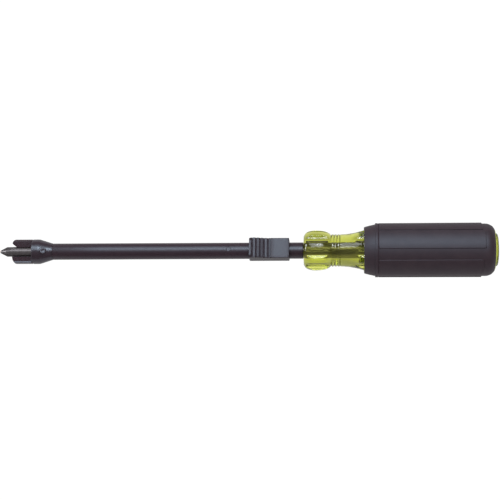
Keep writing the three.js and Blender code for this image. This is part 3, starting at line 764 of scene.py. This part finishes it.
def slide():
    outer = []
    for along, top in slide_stations():
        points = slide_section(top, max(0.0, END_CHAMFER - min(along, SLIDE_LENGTH - along)))
        outer.append(np.column_stack([np.full(len(points), SLIDE_FRONT + along), points]))
    bore = []
    for points in (outer[-1], outer[0]):
        across = points[:, 1:] / np.linalg.norm(points[:, 1:], axis=1)[:, None] * (TUBE_RADIUS + SLIDE_FIT)
        bore.append(np.column_stack([points[:, 0], across]))
    obj = skin("slide", outer + bore, closed=True)
    cutters = [pin(SLIDE_PIN_AT, -FAR, 0, SLIDE_PIN_HOLE)]
    back, near, drop = FRONT_CORNER
    high = ramp_top(0)
    for side in (-1, 1):
        inner, outer_edge = side * near, side * SLIDE_HALF
        corners = [(SLIDE_FRONT, inner, high), (SLIDE_FRONT + back, outer_edge, high)]
        cutters.append(corner_cutter([*corners, (SLIDE_FRONT, outer_edge, high - drop)]))
    cut(obj, *cutters)
    return dress(obj, "slide", BLACK_SLIDE, "gripper", "black_steel", "thumb_slide", crease=24)


# Handle
def core_outline():
    """Points (along, radius) of the core before its flutes are cut."""
    points = [(HANDLE_START, 8.5), (HANDLE_START + 0.1, 8.75), (HANDLE_START + 0.25, 8.95)]
    points += bezier(points[-1], (179.3, BOLSTER_WIDEST[1]), BOLSTER_WIDEST, 22)
    points += bezier(BOLSTER_WIDEST, (192.0, BOLSTER_WIDEST[1]), (BOLSTER_END, 8.97), 22)
    for i in range(BEAD_COUNT):
        middle = BOLSTER_END + (i + 0.5) * BEAD_PITCH
        for off in np.linspace(-BEAD_HALF, BEAD_HALF, 13):
            rise = smooth(BEAD_STEEPNESS * (1 - abs(off) / BEAD_HALF))
            points.append((middle + off, BEAD_FOOT + BEAD_HEIGHT * rise))
    flare = (NECK_START + 0.15, NECK_RADIUS)
    points += [(NECK_START + 0.02, 9.0), flare]
    points += bezier(flare, (206.05, NECK_RADIUS + 0.02), (GRIP_START, 11.85), 22)
    points += [(s, CORE_RADIUS) for s in (218.05, 230, 250, 270, 281.6)]
    points += [(286.6, BUTT_RADIUS), (288.5, BUTT_RADIUS)]
    points += arc((BUTT_END - BUTT_EDGE, BUTT_RADIUS - BUTT_EDGE), (BUTT_EDGE, BUTT_EDGE), 90, 0, 8)
    return points


def fluted(radius, angles, shrink=0.0):
    """Radius of the core where long flutes are cut into a turned radius."""
    result = np.full(angles.shape, float(radius))
    for i in range(CORE_FLUTES):
        off = angles - math.radians(360 / CORE_FLUTES * (i + 0.5))
        inside = (FLUTE_CUTTER - shrink) ** 2 - (FLUTE_CENTRE * np.sin(off)) ** 2
        near = FLUTE_CENTRE * np.cos(off) - np.sqrt(np.maximum(inside, 0))
        bottom = np.where((inside > 0) & (np.cos(off) > 0), near, UNCUT)
        result = soft_least(result, bottom, FLUTE_SOFTNESS)
    return result


def core():
    angles = even_angles(320)
    bore = TANG_RADIUS - BORE_FIT
    end = BLADE_END - 0.05
    rings = [pole(end), ring(end, bore - BLADE_CHAMFER, angles), ring(end - BLADE_CHAMFER, bore, angles)]
    rings += [ring(s, bore, angles) for s in (230, 205, HANDLE_START + TANG_FULL + 0.02)]
    rings.append(ring(HANDLE_START + TANG_FOOT + 0.01, BLADE_RADIUS - BORE_FIT, angles))
    rings.append(ring(HANDLE_START, BLADE_RADIUS + 0.28, angles))
    rings += [ring(s, fluted(r, angles), angles) for s, r in core_outline()]
    rings += [ring(BUTT_END, 5.0, angles), pole(BUTT_END)]
    obj = skin("core", rings)
    return dress(obj, "core", ACETATE, "driver", "clear_acetate", "handle_core", crease=50)


# Grip
def land_height(along, angles):
    """Height of the raised lands over the grip at one place along it."""
    height = np.zeros(angles.shape)
    for a, b, end in LANDS:
        middle_s, half_s = (LAND_START + end) / 2, (end - LAND_START) / 2
        turn = np.degrees(angles) - (a + b) / 2
        turn = (turn + 180) % 360 - 180
        half = math.radians((b - a) / 2) * GRIP_RADIUS - LAND_GAP
        across = np.abs(np.radians(turn)) * GRIP_RADIUS - half + LAND_CORNER
        length = abs(along - middle_s) - half_s + LAND_CORNER
        outside = np.hypot(np.maximum(across, 0), max(length, 0)) - LAND_CORNER
        distance = outside + np.minimum(np.maximum(across, length), 0)
        height = np.maximum(height, smooth(-distance / LAND_SLOPE))
    taper = PANEL_TAPER * min(1.0, max(0.0, (LAND_END - along) / TAPER_LENGTH))
    return (PANEL_HEIGHT - taper) * height


def grip_angles():
    """Even angles, with more of them at the edges of the lands."""
    offs = (0, *LAND_TURNS, *(-turn for turn in LAND_TURNS))
    edges = [edge + off for a, b, _ in LANDS for edge in (a, b) for off in offs]
    every = np.concatenate([np.arange(0, 360, 1.8), np.mod(edges, 360)])
    every = np.unique(np.round(every, 2))
    keep = np.concatenate([[True], np.diff(every) > 0.15])
    return np.radians(every[keep])


def grip():
    angles = grip_angles()
    outside = [(GRIP_START, 12.7), (GRIP_START, 13.15)]
    outside += arc((GRIP_START + 0.5, 13.2), (0.5, 0.5), 180, 110, 5)
    outside += [(216, 14.38), (219.2, 15.08), (219.5, 15.12), (219.55, 15.3), (219.56, 15.69)]
    outside += arc((219.74, 15.69), (0.18, 0.18), 170, 90, 4)
    outside += [(220.4, 15.87), (220.95, 15.87), (221.1, 15.8), (221.25, 15.68)]
    ring_end = len(outside)
    land_places = [LAND_START + step for step in LAND_STEPS]
    land_places += list(np.linspace(LAND_START + 4, LAND_END - 4, 14))
    land_places += [LAND_END - step for step in reversed((0, *LAND_STEPS))]
    land_places += [LONG_LAND_END - step for step in reversed((0, *LAND_STEPS[1:-1]))]
    outside += [(s, GRIP_RADIUS) for s in (*land_places, LONG_LAND_END + 0.3)]
    outside += arc((GRIP_END - GRIP_ROUND[0], GRIP_RADIUS - GRIP_ROUND[1]), GRIP_ROUND, 90, 0, 20)
    rings = [ring(s, r, angles) for s, r in outside[:ring_end]]
    rings += [ring(s, r + land_height(s, angles), angles) for s, r in outside[ring_end:]]
    inside = [(GRIP_END - 0.2, BUTT_RADIUS + 0.2), (286.7, BUTT_RADIUS + GRIP_FIT)]
    inside += [(s, CORE_RADIUS + GRIP_FIT) for s in (281.65, 270, 250, 230, 218.05)]
    inside += [(215.5, 12.12), (GRIP_START + 0.1, 11.97)]
    rings += [ring(s, fluted(r, angles, GRIP_FIT), angles) for s, r in inside]
    obj = skin("grip", rings, closed=True)
    return dress(obj, "grip", RUBBER, "driver", "grip_rubber", "cushion_grip", crease=40)


blade()
jaw(1, "jaw_with_bevel", "bevelled_jaw", "jaw_bevelled")
jaw(-1, "jaw_with_square_nose", "square_jaw", "jaw_square")
head()
pivot_pin(1, "pivot_top", "jaw_pin_top")
pivot_pin(-1, "pivot_bottom", "jaw_pin_bottom")
tube()
key()
rivet()
springs()
slide()
core()
grip()

# Hidden pieces keep their solids and get a finish.
for node, material in (
    ("spring_collar", STEEL),
    ("collar_pin", STEEL),
    ("spring_bush", BRONZE),
    ("tail_bush", BRONZE),
):
    frame["nodes"][node].data.materials.clear()
    frame["nodes"][node].data.materials.append(material)


# Stage
def by_ray(tree, eye, glossy, clear):
    """A value that depends on what sees the surface: the eye, a reflection or clear plastic."""
    path = tree.nodes.new("ShaderNodeLightPath")
    value = None
    rays = (("Is Camera Ray", eye), ("Is Glossy Ray", glossy), ("Is Transmission Ray", clear))
    for kind, amount in rays:
        mixer = tree.nodes.new("ShaderNodeMix")
        mixer.inputs["A"].default_value = 0.0
        if isinstance(amount, bpy.types.NodeSocket):
            tree.links.new(amount, mixer.inputs["B"])
        else:
            mixer.inputs["B"].default_value = amount
        tree.links.new(path.outputs[kind], mixer.inputs["Factor"])
        if value:
            tree.links.new(value, mixer.inputs["A"])
        value = mixer.outputs["Result"]
    return value


def painted_gathered_light(tree):
    """Painted brightness of the floor under the clear handle: a painted pool of light, brighter on the near
    side, standing in for the key light that the handle gathers there.
    """
    place = tree.nodes.new("ShaderNodeNewGeometry")
    parts = tree.nodes.new("ShaderNodeSeparateXYZ")
    tree.links.new(place.outputs["Position"], parts.inputs["Vector"])
    span = tree.nodes.new("ShaderNodeMapRange")
    span.interpolation_type = "SMOOTHSTEP"
    span.inputs["From Min"].default_value = 1 * MM
    span.inputs["From Max"].default_value = 7 * MM
    span.inputs["To Min"].default_value = 0.85
    span.inputs["To Max"].default_value = 0.35
    tree.links.new(parts.outputs["Y"], span.inputs["Value"])
    return span.outputs["Result"]


def floor():
    mesh = bpy.data.meshes.new("floor")
    reach = 6.0
    height = -0.01602
    corners = [(-reach, -reach), (reach, -reach), (reach, reach), (-reach, reach)]
    mesh.from_pydata([(x, y, height) for x, y in corners], [], [(0, 1, 2, 3)])
    obj = bpy.data.objects.new("floor", mesh)
    bpy.context.scene.collection.objects.link(obj)
    material = bpy.data.materials.new("white_floor")
    material.use_nodes = True
    tree = material.node_tree
    shader = tree.nodes["Principled BSDF"]
    shader.inputs["Base Color"].default_value = (0.9, 0.9, 0.9, 1)
    shader.inputs["Roughness"].default_value = 0.9
    shader.inputs["Specular IOR Level"].default_value = 0.1
    glow = tree.nodes.new("ShaderNodeEmission")
    # Seen through clear plastic, the floor shows a painted pool of light on the near side.
    tree.links.new(by_ray(tree, eye=1.06, glossy=0.7, clear=painted_gathered_light(tree)), glow.inputs["Strength"])
    mixer = tree.nodes.new("ShaderNodeMixShader")
    tree.links.new(by_ray(tree, eye=0.94, glossy=1.0, clear=1.0), mixer.inputs[0])
    tree.links.new(shader.outputs[0], mixer.inputs[1])
    tree.links.new(glow.outputs[0], mixer.inputs[2])
    tree.links.new(mixer.outputs[0], tree.nodes["Material Output"].inputs["Surface"])
    mesh.materials.append(material)


def world():
    sky = bpy.data.worlds.new("studio")
    bpy.context.scene.world = sky
    sky.use_nodes = True
    tree = sky.node_tree
    dim = tree.nodes["Background"]
    dim.inputs["Color"].default_value = (1, 1, 1, 1)
    dim.inputs["Strength"].default_value = 0.6
    seen = tree.nodes.new("ShaderNodeBackground")
    seen.inputs["Color"].default_value = (1, 1, 1, 1)
    tree.links.new(by_ray(tree, eye=1.0, glossy=0.15, clear=0.3), seen.inputs["Strength"])
    mixer = tree.nodes.new("ShaderNodeMixShader")
    tree.links.new(by_ray(tree, eye=1.0, glossy=1.0, clear=1.0), mixer.inputs[0])
    tree.links.new(dim.outputs[0], mixer.inputs[1])
    tree.links.new(seen.outputs[0], mixer.inputs[2])
    tree.links.new(mixer.outputs[0], tree.nodes["World Output"].inputs["Surface"])


def soft_box(name, aim, towards, distance, size, watts, gloss_only=False):
    """An area lamp in metres. One for gloss only adds highlights and no general light."""
    data = bpy.data.lights.new(name, "AREA")
    data.shape = "RECTANGLE"
    data.size, data.size_y = size
    data.energy = watts
    data.color = (0.9, 0.96, 1.0)
    lamp = bpy.data.objects.new(name, data)
    bpy.context.scene.collection.objects.link(lamp)
    direction = Vector(towards).normalized()
    lamp.location = Vector(aim) + direction * distance
    lamp.rotation_mode = "QUATERNION"
    lamp.rotation_quaternion = direction.to_track_quat("Z", "Y")
    lamp.visible_diffuse = not gloss_only
    lamp.visible_transmission = not gloss_only
    return lamp


def camera():
    """A camera square to the tool's axis, above the grip, with its frame shifted to the whole tool."""
    pixel = 0.5864
    pixels = 500
    sensor = 36
    distance = 0.7626
    foot = 0.199
    middle = 0.1462
    rise = 0.000235
    width = pixels * pixel * MM
    elevation = math.radians(76)
    roll = math.radians(0.26)
    back = Vector((0, -math.cos(elevation), math.sin(elevation)))
    up = Vector((0, math.sin(elevation), math.cos(elevation)))
    right = Vector((1, 0, 0))
    data = bpy.data.cameras.new("camera")
    data.sensor_width = sensor
    data.lens = sensor * distance / width
    data.shift_x = (middle - foot) / width
    obj = bpy.data.objects.new("camera", data)
    bpy.context.scene.collection.objects.link(obj)
    turned_right = right * math.cos(roll) - up * math.sin(roll)
    turned_up = up * math.cos(roll) + right * math.sin(roll)
    rotation = Matrix((turned_right, turned_up, back)).transposed().to_4x4()
    obj.matrix_world = Matrix.Translation(Vector((foot, 0, 0)) + back * distance + up * rise) @ rotation
    data.clip_start = 0.01
    data.clip_end = 20
    bpy.context.scene.camera = obj


floor()
world()
KEY_LAMP = {"aim": (0.03, 0, 0), "towards": (0, 0.485, 0.874), "distance": 0.9, "size": (0.78, 0.34)}
soft_box("key_light", **KEY_LAMP, watts=3.9)
soft_box("key_gloss", **KEY_LAMP, watts=2.8, gloss_only=True)
soft_box("low_key", (0.12, 0, 0), (0, 0.182, 0.983), 0.9, (0.62, 0.15), 2.2, gloss_only=True)
soft_box("spark", (0.187, 0, 0), (0.13, 0.36, 0.924), 0.85, (0.24, 0.16), 1.6, gloss_only=True)
soft_box("left_light", (0.1, 0, 0), (-0.93, 0.24, 0.27), 0.9, (0.4, 0.4), 5.0, gloss_only=True)
camera()
bpy.context.scene.view_settings.view_transform = "Standard"
